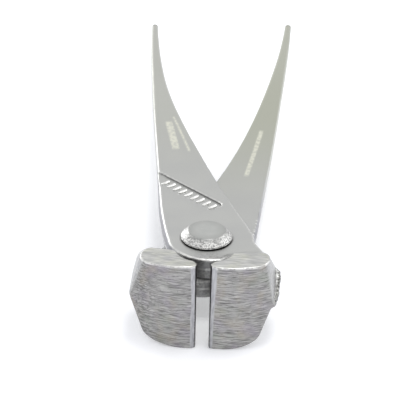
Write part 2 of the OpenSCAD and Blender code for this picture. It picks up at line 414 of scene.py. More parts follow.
def lever_field(x, y, z, lever):
    """One whole forging: its plate and handle with their rolled edges, its jaw, the wall that clears the
    other lever, and the bore."""
    bottom, top = handle_levels(y)
    lap = LAP_ROUND + (HANDLE_ROUND - LAP_ROUND) * settled(y)
    edge = PLATE_ROUND + (HANDLE_ROUND - PLATE_ROUND) * settled(y)
    inner = smoothly(x, *INNER_X) * smoothly(y, *INNER_Y) * (1 - smoothly(y, *INNER_END))
    edge = edge * (1 - 0.7 * inner) * (1 - 0.35 * smoothly(-y, 3, 9))
    height = np.clip(np.abs(2 * (z - bottom) / (top - bottom) - 1), 0, 1)
    bulge = PARTING_OUT * (1 - height) * smoothly(y, *PARTING_START) * (1 - smoothly(y, *PARTING_END))
    own = both(both(plan_field(x, y) - bulge, z - top, edge), bottom - z, lap)
    if lever["recess"]:
        own = both(own, -recess_field(x, y, z), RECESS_ROUND)
    if lever["chip"]:
        nick = (CHIP - (y + PLATE_R) - (z - HALF_GAP)) * math.sqrt(0.5)
        own = np.maximum(own, np.minimum(nick, CHIP_HALF - np.abs(x)))
    whole = either(own, jaw_field(x, y, z * lever["turn"], lever), FLARE_ROUND)
    whole = np.maximum(whole, np.abs(z) - JAW_TALL + INSIDE)
    behind = np.maximum(SHOULDER_Y - SHOULDER_ROOM - y, y - WALL_R)
    wall = np.maximum(np.minimum(np.hypot(x, y) - WALL_R, behind), z - HALF_GAP)
    whole = both(whole, -wall, WALL_ROUND)
    return np.maximum(whole, BORE_R - np.hypot(x, y))


# Meshes

def skin(field, axes):
    """Points and faces of a sampled field's surface: a point in each cell that it passes through,
    and a face round each grid line that it crosses."""
    inside = field < 0
    count = sum(inside[a:a - 1 or None, b:b - 1 or None, c:c - 1 or None].astype(np.int8)
                for a in (0, 1) for b in (0, 1) for c in (0, 1))
    cells = np.argwhere((count > 0) & (count < 8))
    total = np.zeros((len(cells), 3))
    hits = np.zeros(len(cells))
    for axis in range(3):
        others = [n for n in range(3) if n != axis]
        for p in (0, 1):
            for q in (0, 1):
                first = cells.copy()
                first[:, others[0]] += p
                first[:, others[1]] += q
                second = first.copy()
                second[:, axis] += 1
                a, b = field[tuple(first.T)], field[tuple(second.T)]
                crossed = (a < 0) != (b < 0)
                t = np.where(crossed, a / np.where(crossed, a - b, 1), 0)
                place = np.stack([axes[n][first[:, n]] for n in range(3)], 1)
                place[:, axis] += t * (axes[axis][second[:, axis]] - place[:, axis])
                total += place * crossed[:, None]
                hits += crossed
    number = np.full([n - 1 for n in field.shape], -1)
    number[tuple(cells.T)] = np.arange(len(cells))
    faces = []
    for axis in range(3):
        u, v = (axis + 1) % 3, (axis + 2) % 3
        start = np.take(inside, range(field.shape[axis] - 1), axis)
        end = np.take(inside, range(1, field.shape[axis]), axis)
        crossed = np.argwhere(start != end)
        kept = [(crossed[:, n] > 0) & (crossed[:, n] < field.shape[n] - 1) for n in (u, v)]
        crossed = crossed[kept[0] & kept[1]]
        ring = []
        for du, dv in ((0, 0), (-1, 0), (-1, -1), (0, -1)):
            cell = crossed.copy()
            cell[:, u] += du
            cell[:, v] += dv
            ring.append(number[tuple(cell.T)])
        ring = np.stack(ring, 1)
        outward = start[tuple(crossed.T)]
        faces.append(np.where(outward[:, None], ring, ring[:, ::-1]))
    return total / hits[:, None], np.concatenate(faces)


def slope_of(field, points, reach=0.05):
    """The field's slope at points, which is the surface's outward direction."""
    slope = np.empty_like(points)
    for axis in range(3):
        shift = np.zeros(3)
        shift[axis] = reach
        slope[:, axis] = (field(*(points + shift).T) - field(*(points - shift).T)) / (2 * reach)
    return slope


def near_line(x, y, start, end):
    """How far along a line a place is, as a share, and how far beside it."""
    dx, dy = end[0] - start[0], end[1] - start[1]
    t = ((x - start[0]) * dx + (y - start[1]) * dy) / (dx * dx + dy * dy)
    beside = np.abs((x - start[0]) * dy - (y - start[1]) * dx) / math.hypot(dx, dy)
    return t, beside


def etched_share(x, y, lever):
    """Where the handle's face has a plain lighter patch."""
    share = np.zeros_like(x)
    for start, end, half in lever["etched"]:
        t, beside = near_line(x, y, start, end)
        inside = smoothly(-np.abs(t - 0.5), -0.52, -0.48) * smoothly(half - beside, -0.2, 0.2)
        share = np.maximum(share, inside)
    return share


def surface_at(points, lever):
    """What the finishes need to know of points on a forging: where they are, which way they face, how
    sharp the edge is there, and whether they are on the jaw or the joint plate. Here z points to the
    jaw's flat top, and level is the height above the joint's middle plane."""
    x, y, level = points.T
    slope = slope_of(lambda *p: lever_field(*p, lever), points)
    slope /= np.linalg.norm(slope, axis=1)[:, None]
    reach = 0.5
    around = sum(lever_field(*(points + shift).T, lever) + lever_field(*(points - shift).T, lever)
                 for shift in np.eye(3) * reach)
    from_pivot = np.hypot(x, y)
    plate = smoothly(PLATE_ZONE_R - from_pivot, 0, 0.3)
    return SimpleNamespace(
        x=x, y=y, z=level * lever["turn"], level=level, from_pivot=from_pivot,
        forward=-slope[:, 1], upward=slope[:, 2] * lever["turn"], sideways=1 - np.abs(slope[:, 2]),
        sharp=smoothly(around / reach, 0.12, 0.45),
        jaw=smoothly(-y, -SHOULDER_Y, -SHOULDER_Y + 2) * (x > 0),
        plate=plate, plate_edge=plate * smoothly(from_pivot, 11.2, 11.6) * smoothly(-y, 5, 7))


def bevel_share(at, lever):
    """The whetted bevel of the cutting edge."""
    face = smoothly(-np.abs(bevel_field(at.x, at.y, at.z, lever["bevel"])), -0.1, -0.04)
    return face * smoothly(at.forward, 0.2, 0.4) * at.jaw


def end_share(at):
    """The jaw's flat ground ends."""
    level = smoothly(np.abs(at.z), JAW_TALL - 0.12, JAW_TALL - 0.03)
    return level * smoothly(np.abs(at.upward), 0.8, 0.95) * at.jaw


def chip_highlight_share(at, lever):
    """A painted highlight on the nick in the joint plate's front edge."""
    chip = smoothly(-np.abs(at.level - 1.35), -0.8, -0.7) * smoothly(at.x + 1.13 * at.level, 2.7, 2.9)
    chip = chip * smoothly(CHIP_HALF - at.x, 0, 0.2) * smoothly(at.forward, 0.4, 0.6)
    return chip * at.plate_edge * lever["chip"]


def rubbed_and_highlight_share(at, lever):
    """Sharp edges made bright, partly by real wear and partly as painted highlight: the grinding burr, the
    plate's rim, a painted highlight line along the recess's upper wall, and painted glints along the neck
    and the handle's root."""
    burr = smoothly(at.z, JAW_TALL - 1.0, JAW_TALL - 0.3) * smoothly(at.forward, 0.1, 0.3) * at.jaw
    rim = smoothly(at.level, PLATE_T - 0.9, PLATE_T - 0.3) * smoothly(-at.y, 6, 9) * lever["rim_worn_and_highlit"]
    rim = rim * at.plate
    slot, across = recess_place(at.x, at.y)
    wall = smoothly(-np.abs(recess_wall(at.x, at.y) - 0.15), -0.4, -0.1) * smoothly(across, -0.5, 1.5)
    wall = wall * (0.45 + 1.2 * smoothly(slot, -1.5, 0)) * smoothly(at.y, 12, 14) * lever["recess"]
    # painted glints along the upper lever's neck edge, and below, along the lower lever's root edge
    neck_glints = smoothly(at.x, 6, 9) * smoothly(-at.y, -26, -20) * (1 - at.jaw) * lever["rim_worn_and_highlit"]
    specks = smoothly(ragged(2.1 * at.y, 5.0), 0.25, 0.45) * smoothly(1 - at.level, 0, 0.4)
    specks = specks * smoothly(-at.x, 9, 9.5) * smoothly(at.y, 5, 8) * smoothly(-at.y, -27, -22)
    specks = specks * (1 - lever["rim_worn_and_highlit"])
    return at.sharp * (0.65 * burr + 0.7 * rim + wall + 0.3 * neck_glints + specks)


def painted_shade_share(at, lever, bevel, chip):
    """Painted shade: the seam between the plates, a painted shadow ring round the rivet's head, the plate's
    front in the gap between the jaws, the recess's upper wall, the brink of the cutting edge and the throat
    behind it."""
    # painted shade in the seam between the two plates
    seam = smoothly(0.5 - at.level, 0, 0.15) * at.plate_edge
    # painted shadow of the rivet's head on the plate, heavier towards the front
    ring = smoothly(SHADE_RING_R - at.from_pivot, -0.2, 0.2) * smoothly(at.level, 5.8, 6.3)
    ring = ring * smoothly(-at.y, -4, 4)
    low_edge = PLATE_T - 0.4 * lever["rim_worn_and_highlit"]
    front = smoothly(low_edge - at.level, 0, 0.5 * lever["rim_worn_and_highlit"] + 0.01)
    front = front * smoothly(at.forward, 0.1, 0.5)
    front = front * smoothly(PLATE_ZONE_R + 0.2 - at.from_pivot, 0, 0.6) * (1 - chip)
    corner = smoothly(-np.abs(recess_wall(at.x, at.y) + 0.05), -0.45, 0)
    corner = corner * smoothly(PLATE_T - 0.12 - at.level, 0, 0.1) * smoothly(at.level, 5, 5.5)
    corner = corner * smoothly(at.y, 12, 14) * lever["recess"]
    # painted shade in the throat behind the cutting edges, and along the brink below
    throat = smoothly(-np.abs(throat_field(at.x, at.y)), -0.3, -0.1) * at.jaw * (1 - bevel)
    brink = smoothly(-at.x, -0.34 - 0.1 * ragged(2.2 * at.z, 1.0), -0.24)
    brink = brink * smoothly(-at.y, 22, 23) * at.jaw
    return 0.9 * seam + ring + 0.3 * front + 0.75 * corner + 0.8 * brink + 0.45 * throat


def side_share(at):
    """The trimmed sides of the joint and the handle's root."""
    upright = smoothly(at.sideways, 0.2, 0.6)
    return upright * smoothly(-at.y, -60, -25) * np.maximum(at.plate, smoothly(at.y, -8, -6))


def parting_share(at):
    """The parting line along the middle of those sides, lightened as a painted highlight on its ridge."""
    bottom, top = handle_levels(at.y)
    off = np.abs(at.level - (bottom + top) / 2 + 0.15 * ragged(at.y, 3.0))
    return smoothly(-off, -0.45, -0.2)


def flash_share(at, lever):
    """The torn fin on the jaw's side."""
    out, along = side_place(at.x, at.y, lever)
    fin = smoothly(out, 0.03, 0.25) * smoothly(along, 0.2, 1) * smoothly(FLASH_LONG - along, 0, 1)
    return fin * at.jaw * lever["flash"] * smoothly(6 - np.abs(at.z), 0, 1)


def zones(points, lever):
    """Which share of each finish a point of a lever has."""
    at = surface_at(points, lever)
    bevel = bevel_share(at, lever)
    front = smoothly(at.forward, *lever["front_from"]) * at.jaw * smoothly(-at.y, 20, 21) * (1 - bevel)
    ends = end_share(at)
    chip = chip_highlight_share(at, lever)
    side = side_share(at)
    forged = smoothly(-at.y - 0.4 * np.abs(at.x), 7, 10) * (1 - front) * (1 - ends) * (1 - bevel)
    return {
        "front_face": front,
        "end_face": ends,
        "bevel": bevel,
        "forged": forged,
        # edges lightened by wear and by painted highlight; below, painted shade in seams and hollows
        "worn_and_highlit": np.clip(rubbed_and_highlight_share(at, lever) + chip + 0.7 * side * parting_share(at), 0, 1),
        "painted_shade": np.clip(painted_shade_share(at, lever, bevel, chip), 0, 1),
        "side": side,
        "warm": smoothly(at.y, 20, 110) * lever["warm"],
        "etched": etched_share(at.x, at.y, lever) * smoothly(at.upward, 0.5, 0.9),
        "pitted": smoothly(at.x, 8, 15) * lever["pitted"],
        "flash": flash_share(at, lever) * (1 - front),
    }


def new_piece(name, points, faces, material):
    """A new piece, with its points in metres."""
    mesh = bpy.data.meshes.new(name)
    mesh.from_pydata(np.asarray(points).tolist(), [], [list(face) for face in faces])
    mesh.validate()
    mesh.shade_smooth()
    mesh.materials.append(material)
    piece = bpy.data.objects.new(name, mesh)
    bpy.context.scene.collection.objects.link(piece)
    return piece


def add_attribute(piece, name, values):
    """A value on every point of a piece, for its material."""
    piece.data.attributes.new(name, "FLOAT", "POINT").data.foreach_set("value", values.astype(np.float32))


def rest_place(lever):
    """From the closed tool's frame, in mm with the pivot at the origin, to the lever's place at rest."""
    place = Matrix.Rotation(lever["turn"] * HALF_OPEN, 4, "Z")
    if lever["turn"] < 0:
        place = place @ Matrix.Rotation(math.pi, 4, "Y")
    return Matrix.Translation(PIVOT) @ place @ Matrix.Scale(MM, 4)


def moved(points, place):
    """Points after a placing matrix."""
    return points @ np.array(place.to_3x3()).T + np.array(place.translation)


def make_lever(name, lever, material):
    """A whole forging as one fine mesh, with its finishes marked."""
    axes = [
        np.arange(-HANDLE_HALF - 1.5, SHOULDER_X + 2, STEP_X),
        np.concatenate([np.arange(-FRONT_REACH - 1, HEAD_END, STEP_HEAD),
                        np.arange(HEAD_END, HANDLE_REACH + 2, STEP_HANDLE)]),
        np.arange(-JAW_TALL - 1, JAW_TALL + 1, STEP_Z),
    ]
    x, y, z = np.meshgrid(*axes, indexing="ij", sparse=True)
    points, faces = skin(lever_field(x, y, z, lever), axes)
    # the points are drawn onto the true surface in three steps
    for _ in range(3):
        slope = slope_of(lambda *p: lever_field(*p, lever), points)
        size = np.maximum((slope ** 2).sum(1), 0.3)
        points -= slope * (lever_field(*points.T, lever) / size)[:, None]
    finish = zones(points, lever)
    piece = new_piece(name, moved(points, rest_place(lever)), faces, material)
    for zone, share in finish.items():
        add_attribute(piece, zone, share)
    return piece


def arc(centre, radius, first, last, steps=5):
    """Points of a rounding in a profile, from one angle in degrees to another."""
    angles = np.radians(np.linspace(first, last, steps))
    return [(centre[0] + radius * math.cos(a), centre[1] + radius * math.sin(a)) for a in angles]


def rivet_profile():
    """The rivet's outline as radius and height, from the middle of its upper face to that of its lower."""
    seat = PLATE_T + HEAD_GAP
    rim = seat + HEAD_RIM
    flat = rim + HEAD_CONE
    small = TURNED_ROUND
    return (
        [(HEAD_FLAT_R * 0.5, flat)]
        + arc((HEAD_FLAT_R - small, flat - small), small, 90, 45)
        + [(HEAD_FLAT_R + HEAD_CONE * 0.5, rim + HEAD_CONE * 0.53)]
        + arc((HEAD_R - small * 1.5, rim + small * 0.2), small, 60, 0)
        + [(HEAD_R - small, rim - small * 0.2)]
        + arc((HEAD_R - small * 0.5, rim - small), small * 0.5, 80, -40)
        + [(HEAD_R - HEAD_RIM * 1.4, seat), (SHANK_R, seat), (SHANK_R, -PLATE_T)]
        + arc((FOOT_R - FOOT_H, -PLATE_T), FOOT_H, 0, -90, 9))


def make_rivet(material):
    """The rivet, turned from its profile, with closed ends."""
    profile = rivet_profile()
    angle = np.arange(TURNED_SIDES) * 2 * math.pi / TURNED_SIDES
    rings = [np.stack([r * np.cos(angle), r * np.sin(angle), np.full(TURNED_SIDES, h)], 1)
             for r, h in profile]
    points = np.concatenate(rings + [[[0, 0, profile[0][1]], [0, 0, profile[-1][1]]]])
    first, last = len(points) - 2, len(points) - 1
    faces = []
    for n in range(TURNED_SIDES):
        m = (n + 1) % TURNED_SIDES
        faces.append([first, n, m])
        for ring in range(len(profile) - 1):
            low, high = (ring + 1) * TURNED_SIDES, ring * TURNED_SIDES
            faces.append([high + n, low + n, low + m, high + m])
        end = (len(profile) - 1) * TURNED_SIDES
        faces.append([last, end + m, end + n])
    piece = new_piece("rivet_turned", points * MM + np.array(PIVOT), faces, material)
    radius, height = np.hypot(points[:, 0], points[:, 1]), points[:, 2]
    rim = PLATE_T + HEAD_GAP + HEAD_RIM
    # Painted shade: a dark line in the groove under the cone, a thin ring on the flat's edge and the rim's
    # underside
    groove = smoothly(-np.abs(height - rim), -0.12, -0.03) * smoothly(HEAD_R - 0.08 - radius, 0, 0.05)
    ring = smoothly(-np.abs(radius - HEAD_FLAT_R + 0.1), -0.15, 0) * (height > rim)
    under = smoothly(rim - height, 0.3, 0.4)
    add_attribute(piece, "cone", smoothly(radius, HEAD_FLAT_R - 0.1, HEAD_FLAT_R) * (height > rim - 0.3))
    add_attribute(piece, "painted_shade", np.clip(groove + 0.35 * ring + under, 0, 1) * (height > 0))
    return piece


def bar_tree(material):
    """A row of round-ended bars that lie side by side, laid out along X with their length along Y."""
    tree = bpy.data.node_groups.new("bar_row", "GeometryNodeTree")
    face = tree.interface
    face.new_socket("Count", in_out="INPUT", socket_type="NodeSocketInt")
    for size in ("Step", "Radius", "Length", "Lean"):
        face.new_socket(size, in_out="INPUT", socket_type="NodeSocketFloat")
    face.new_socket("Geometry", in_out="OUTPUT", socket_type="NodeSocketGeometry")
    given = add(tree, "NodeGroupInput").outputs
    step = add(tree, "ShaderNodeCombineXYZ", {"X": given["Step"]}).outputs[0]
    row = add(tree, "GeometryNodeMeshLine", {"Count": given["Count"], "Offset": step}).outputs[0]
    ball = add(tree, "GeometryNodeMeshUVSphere", {
        "Segments": 20, "Rings": 14, "Radius": given["Radius"]}).outputs[0]
    half = add(tree, "ShaderNodeMath", {0: given["Length"], 1: 0.5}, operation="MULTIPLY").outputs[0]
    place = add(tree, "GeometryNodeInputPosition").outputs[0]
    side = add(tree, "ShaderNodeSeparateXYZ", {0: place}).outputs["Y"]
    sign = add(tree, "ShaderNodeMath", {0: side}, operation="SIGN").outputs[0]
    shift = add(tree, "ShaderNodeMath", {0: sign, 1: half}, operation="MULTIPLY").outputs[0]
    offset = add(tree, "ShaderNodeCombineXYZ", {"Y": shift}).outputs[0]
    bar = add(tree, "GeometryNodeSetPosition", {"Geometry": ball, "Offset": offset}).outputs[0]
    turn = add(tree, "ShaderNodeCombineXYZ", {"Z": given["Lean"]}).outputs[0]
    bars = add(tree, "GeometryNodeInstanceOnPoints", {
        "Points": row, "Instance": bar, "Rotation": turn}).outputs[0]
    real = add(tree, "GeometryNodeRealizeInstances", {"Geometry": bars}).outputs[0]
    dressed = add(tree, "GeometryNodeSetMaterial", {"Geometry": real, "Material": material}).outputs[0]
    smooth = add(tree, "GeometryNodeSetShadeSmooth", {"Geometry": dressed}).outputs[0]
    add(tree, "NodeGroupOutput", {"Geometry": smooth})
    return tree


def make_bars(lever, material):
    """The recess's plain bars, grown by Geometry Nodes and then laid on its sloping floor."""
    holder = bpy.data.objects.new("bar_holder", bpy.data.meshes.new("bar_holder"))
    bpy.context.scene.collection.objects.link(holder)
    modifier = holder.modifiers.new("bar_row", "NODES")
    modifier.node_group = bar_tree(material)
    sizes = {
        "Count": BAR_COUNT, "Step": -BAR_STEP, "Radius": BAR_R, "Length": BAR_LONG - 2 * BAR_R,
        "Lean": BAR_LEAN}
    for item in modifier.node_group.interface.items_tree:
        if item.in_out == "INPUT":
            modifier[item.identifier] = sizes[item.name]
    grown = holder.evaluated_get(bpy.context.evaluated_depsgraph_get())
    mesh = bpy.data.meshes.new_from_object(grown)
    bpy.data.objects.remove(holder)
    points = np.empty(len(mesh.vertices) * 3)
    mesh.vertices.foreach_get("co", points)
    along, across, up = points.reshape(-1, 3).T
    across = across - BAR_LIFT
    cos, sin = math.cos(RECESS_ANGLE), math.sin(RECESS_ANGLE)
    placed = np.stack([
        RECESS_START[0] + along * cos + across * sin,
        RECESS_START[1] - along * sin + across * cos,
        np.minimum(recess_floor(across) + up + BAR_LIFT, PLATE_T + BAR_TOP)], 1)
    mesh.vertices.foreach_set("co", moved(placed, rest_place(lever)).ravel())
    mesh.update()
    piece = bpy.data.objects.new("recess_bars", mesh)
    bpy.context.scene.collection.objects.link(piece)
    return piece


# Materials

def linear(code):
    """The linear colour of an sRGB hex value."""
    channels = [int(code[n:n + 2], 16) / 255 for n in (1, 3, 5)]
    return [c / 12.92 if c <= 0.04045 else ((c + 0.055) / 1.055) ** 2.4 for c in channels] + [1.0]


def add(tree, kind, inputs=(), **settings):
    """A new node with its settings, and with its inputs set or linked."""
    node = tree.nodes.new(kind)
    for name, value in settings.items():
        setattr(node, name, value)
    for key, value in dict(inputs).items():
        if isinstance(value, bpy.types.NodeSocket):
            tree.links.new(value, node.inputs[key])
        else:
            node.inputs[key].default_value = value
    return node


def new_material(name):
    """An empty material and its tree."""
    material = bpy.data.materials.new(name)
    material.use_nodes = True
    material.node_tree.nodes.clear()
    return material, material.node_tree


def noise(tree, size, turn=(0, 0, 0), detail=2.0, distortion=0.0):
    """Noise between 0 and 1 whose grains have the given sizes along X, Y and Z in mm."""
    place = add(tree, "ShaderNodeTexCoord").outputs["Object"]
    scale = [length * MM for length in size]
    spot = add(tree, "ShaderNodeMapping", {"Vector": place, "Rotation": turn, "Scale": scale},
               vector_type="TEXTURE")
    return add(tree, "ShaderNodeTexNoise", {
        "Vector": spot.outputs[0], "Scale": 1.0, "Detail": detail, "Distortion": distortion}).outputs[0]


def ranged(tree, value, low, high, to_low=0.0, to_high=1.0):
    """A value moved from one range to another, and kept inside it."""
    return add(tree, "ShaderNodeMapRange", {0: value, 1: low, 2: high, 3: to_low, 4: to_high}).outputs[0]


def product(tree, a, b):
    """Two values multiplied."""
    return add(tree, "ShaderNodeMath", {0: a, 1: b}, operation="MULTIPLY").outputs[0]


def mixed(tree, share, a, b):
    """A colour between two others, each a hex value or a socket."""
    a, b = (linear(c) if isinstance(c, str) else c for c in (a, b))
    return add(tree, "ShaderNodeMix", {0: share, 6: a, 7: b}, data_type="RGBA").outputs[2]


def mixed_value(tree, share, a, b):
    """A value between two others."""
    return add(tree, "ShaderNodeMix", {0: share, 2: a, 3: b}, data_type="FLOAT").outputs[0]


def attribute(tree, name):
    """The share of a finish that is marked on the piece's own points."""
    return add(tree, "ShaderNodeAttribute", attribute_name=name).outputs["Fac"]


def plate_finish(tree):
    """Satin nickel plate over a blasted forging: an even, soft grey with faint clouds and a fine grain.
    Blasting leaves grains of about 0.1 mm, too fine to show here, so they are drawn 0.35 mm wide."""
    clouds = noise(tree, (9, 9, 9), detail=3.0)
    grain = noise(tree, (0.35, 0.35, 0.35), detail=1.0)
    colour = mixed(tree, ranged(tree, clouds, 0.35, 0.65), "#B6B7B6", "#BABBB9")
    colour = mixed(tree, ranged(tree, grain, 0.3, 0.75, 0.0, 0.35), colour, "#AFAFAD")
    colour = mixed(tree, attribute(tree, "warm"), colour, "#AEB0A2")
    mottle = noise(tree, (1.3, 1.3, 1.3))
    etched = product(tree, attribute(tree, "etched"), ranged(tree, mottle, 0.35, 0.6, 0.35, 0.85))
    colour = mixed(tree, etched, colour, "#E0E0D2")
    return colour, ranged(tree, clouds, 0.3, 0.7, 0.33, 0.4), ranged(tree, grain, 0.2, 0.8, 0.0, 0.004)


def side_finish(tree):
    """The forging's trimmed sides: rougher than its faces, with marks of about 1 mm from the trimming die,
    and painted a little darker as painted shade, with a faint blue tint that is a painted reflection of the
    sky."""
    rough = noise(tree, (1.2, 1.2, 0.8), detail=3.0)
    return mixed(tree, ranged(tree, rough, 0.35, 0.65), "#8A8A8D", "#A2A2A5"), 0.42, 0.0


def forged_finish(tree):
    """Blasted forging skin on the flanks and flares: coarser, so that it glitters. Its grains are drawn
    0.6 mm wide, about twice their real width, so that they show."""
    coarse = noise(tree, (0.6, 0.6, 0.6), detail=3.0)
    blotch = noise(tree, (2.4, 2.4, 2.4), detail=2.0)
    colour = mixed(tree, ranged(tree, coarse, 0.35, 0.65), "#9D9D9D", "#C1C1BE")
    colour = mixed(tree, ranged(tree, blotch, 0.4, 0.7, 0.0, 0.45), colour, "#AEAEB2")
    return colour, 0.42, ranged(tree, coarse, 0.2, 0.8, 0.0, 0.03)


def front_finish(tree):
    """Coarsely ground bare steel: darker than the plating, partly as bare steel and partly as a painted
    reflection of the dark opening in front of the tool, with wavy grinding lines across it, pits and faint
    temper colours. The lines of a coarse belt are about 0.1 mm apart, too fine to show here, so they are
    drawn 0.2 to 0.34 mm apart."""
    lines = noise(tree, (4.5, 4.5, 0.34), turn=(0, math.radians(3), 0), detail=4.0, distortion=0.5)
    fine = noise(tree, (2.6, 2.6, 0.2), turn=(0, math.radians(2), 0), detail=2.0, distortion=0.3)
    pits = noise(tree, (0.9, 0.9, 0.5), detail=3.0)
    warmth = noise(tree, (4.5, 4.5, 5.5), detail=1.0)
    cool = noise(tree, (6.5, 6.5, 4.0), turn=(0.4, 0.9, 0.2), detail=1.0)
    colour = mixed(tree, ranged(tree, lines, 0.36, 0.64), "#8B8A89", "#AEADAB")
    colour = mixed(tree, ranged(tree, fine, 0.46, 0.33, 0.0, 0.9), colour, "#686766")
    colour = mixed(tree, ranged(tree, fine, 0.56, 0.68, 0.0, 0.7), colour, "#C8C7C4")
    pitting = mixed_value(tree, attribute(tree, "pitted"), ranged(tree, pits, 0.3, 0.4, 0.5, 0.0),
                          ranged(tree, pits, 0.38, 0.5, 0.75, 0.0))
    colour = mixed(tree, pitting, colour, "#6E6D6C")
    colour = mixed(tree, ranged(tree, warmth, 0.54, 0.72, 0.0, 0.28), colour, "#A99F8C")
    colour = mixed(tree, ranged(tree, cool, 0.52, 0.7, 0.0, 0.28), colour, "#9C94A4")
    colour = mixed(tree, ranged(tree, cool, 0.44, 0.28, 0.0, 0.25), colour, "#949D8E")
    return colour, 0.5, ranged(tree, lines, 0.2, 0.8, 0.0, 0.05)


def end_finish(tree):
    """The jaws' flat ends, ground finer: lighter, with lines along their length. The lines are drawn
    0.42 mm apart, coarser than a fine belt leaves them, so that they show."""
    lines = noise(tree, (3.4, 0.42, 4.0), turn=(0, 0, math.radians(-4)), detail=3.0, distortion=0.5)
    tint = noise(tree, (4.0, 3.0, 4.0), detail=1.0)
    colour = mixed(tree, ranged(tree, lines, 0.36, 0.64), "#A9AAA7", "#D1D1CC")
    colour = mixed(tree, ranged(tree, tint, 0.45, 0.65, 0.0, 0.25), colour, "#B8B8C0")
    colour = mixed(tree, ranged(tree, tint, 0.45, 0.3, 0.0, 0.25), colour, "#C8C9B8")
    return colour, 0.36, ranged(tree, lines, 0.2, 0.8, 0.0, 0.01)


def bevel_finish(tree):
    """The whetted bevel of the cutting edge: fine, with short streaks down it, which are drawn 0.5 mm
    wide where a stone leaves far finer ones."""
    streaks = noise(tree, (0.5, 0.5, 2.5), detail=2.0)
    return mixed(tree, ranged(tree, streaks, 0.35, 0.65), "#9C9C9F", "#B5B5B7"), 0.3, 0.0


def blend(tree, under, over, share):
    """One finish laid over another by a share between 0 and 1."""
    colour = mixed(tree, share, under[0], over[0])
    rough = mixed_value(tree, share, under[1], over[1])
    return colour, rough, mixed_value(tree, share, under[2], over[2])


def finished_metal(tree, colour, rough, height):
    """The metal itself, with its relief."""
    bump = add(tree, "ShaderNodeBump", {"Height": height, "Distance": MM})
    shader = add(tree, "ShaderNodeBsdfPrincipled", {
        "Base Color": colour, "Metallic": 1.0, "Roughness": rough, "Normal": bump.outputs[0]})
    add(tree, "ShaderNodeOutputMaterial", {"Surface": shader.outputs[0]})


def lever_steel():
    """Nickel-plated tool steel, with its ground, whetted and forged zones, its edges lightened by wear and
    by painted highlights, and painted shade in its seams and hollows.
    """
    material, tree = new_material("nickel_plated_tool_steel")
    finish = plate_finish(tree)
    for name, over in (("side", side_finish), ("forged", forged_finish), ("front_face", front_finish),
                       ("end_face", end_finish), ("bevel", bevel_finish)):
        finish = blend(tree, finish, over(tree), attribute(tree, name))
    colour, rough, height = finish
    # Edges lightened towards #F2F2EF: partly real wear, partly painted highlight
    uneven = noise(tree, (0.9, 0.9, 0.9), detail=3.0)
    worn_and_highlit = product(tree, attribute(tree, "worn_and_highlit"), ranged(tree, uneven, 0.38, 0.56, 0.35, 1.0))
    colour = mixed(tree, worn_and_highlit, colour, "#F2F2EF")
    rough = mixed_value(tree, worn_and_highlit, rough, 0.25)
    torn = noise(tree, (0.6, 1.0, 0.6), detail=2.0)
    flash = mixed(tree, ranged(tree, torn, 0.42, 0.58), "#585856", "#A0A09D")
    colour = mixed(tree, attribute(tree, "flash"), colour, flash)
    # Darkened towards #363533 as painted shade in seams, hollows and round the rivet's head
    painted_shade = product(tree, attribute(tree, "painted_shade"), ranged(tree, uneven, 0.3, 0.6, 0.75, 0.98))
    colour = mixed(tree, painted_shade, colour, "#363533")
    finished_metal(tree, colour, rough, height)
    return material


def rivet_steel():
    """Turned steel: a smooth satin face, a cone stippled about twice per mm, which glitters, and painted
    shade in the groove under the cone, round the flat's edge and under the rim."""
    material, tree = new_material("turned_rivet_steel")
    cloud = noise(tree, (2.5, 2.5, 2.5), detail=3.0)
    stipple = noise(tree, (0.5, 0.5, 0.5), detail=2.0)
    specks = noise(tree, (0.55, 0.55, 0.55), detail=1.0)
    cone = attribute(tree, "cone")
    face = mixed(tree, ranged(tree, cloud, 0.35, 0.65), "#B3B5B3", "#B8B9B7")
    face = mixed(tree, ranged(tree, specks, 0.74, 0.78, 0.0, 0.5), face, "#E4E4E2")
    stippled = mixed(tree, ranged(tree, stipple, 0.38, 0.6), "#8C8C8C", "#D9D9D7")
    colour = mixed(tree, cone, face, stippled)
    # darkened towards #2B2A29 as painted shade
    colour = mixed(tree, attribute(tree, "painted_shade"), colour, "#2B2A29")
    height = product(tree, cone, ranged(tree, stipple, 0.2, 0.8, 0.0, 0.03))
    finished_metal(tree, colour, mixed_value(tree, cone, 0.34, 0.42), height)
    return material


def bar_steel():
    """The raised bars' plating, rubbed bright by handling in spots of about 0.8 mm, and painted near white
    as a painted highlight on their lit sides.
    """
    material, tree = new_material("rubbed_and_highlit_nickel_plate")
    rubbed = noise(tree, (0.8, 0.8, 0.8), detail=2.0)
    # near white: real rubbing and a painted highlight
    colour = mixed(tree, ranged(tree, rubbed, 0.35, 0.55), "#DEDEDB", "#FDFDFC")
    finished_metal(tree, colour, 0.3, 0.0)
    return material


# Camera, floor and light

def place_camera():
    """The photograph's view: 29 degrees down over the jaws, along the tool. The picture's width, the
    focal length and the pivot's place in the picture are in pixels."""
    photo, focus = 420, 900.0
    pitch, yaw, roll = math.radians(28.996), math.radians(1.032), math.radians(1.6)
    away = 266.523 * MM
    pivot_x, pivot_y = 206.118, 256.129
    back = Vector((math.sin(yaw) * math.cos(pitch), -math.cos(yaw) * math.cos(pitch), math.sin(pitch)))
    level = Vector((math.cos(yaw), math.sin(yaw), 0))
    above = back.cross(level)
    right = math.cos(roll) * level + math.sin(roll) * above
    up = -math.sin(roll) * level + math.cos(roll) * above
    ray = (pivot_x - photo / 2) / focus * right - (pivot_y - photo / 2) / focus * up - back
    data = bpy.data.cameras.new("camera")
    data.sensor_width = 36
    data.lens = focus * data.sensor_width / photo
    data.clip_start = 0.01
    camera = bpy.data.objects.new("camera", data)
    bpy.context.scene.collection.objects.link(camera)
    turned = Matrix((right, up, back)).transposed().to_4x4()
    camera.matrix_world = Matrix.Translation(PIVOT - ray * away) @ turned
    bpy.context.scene.camera = camera


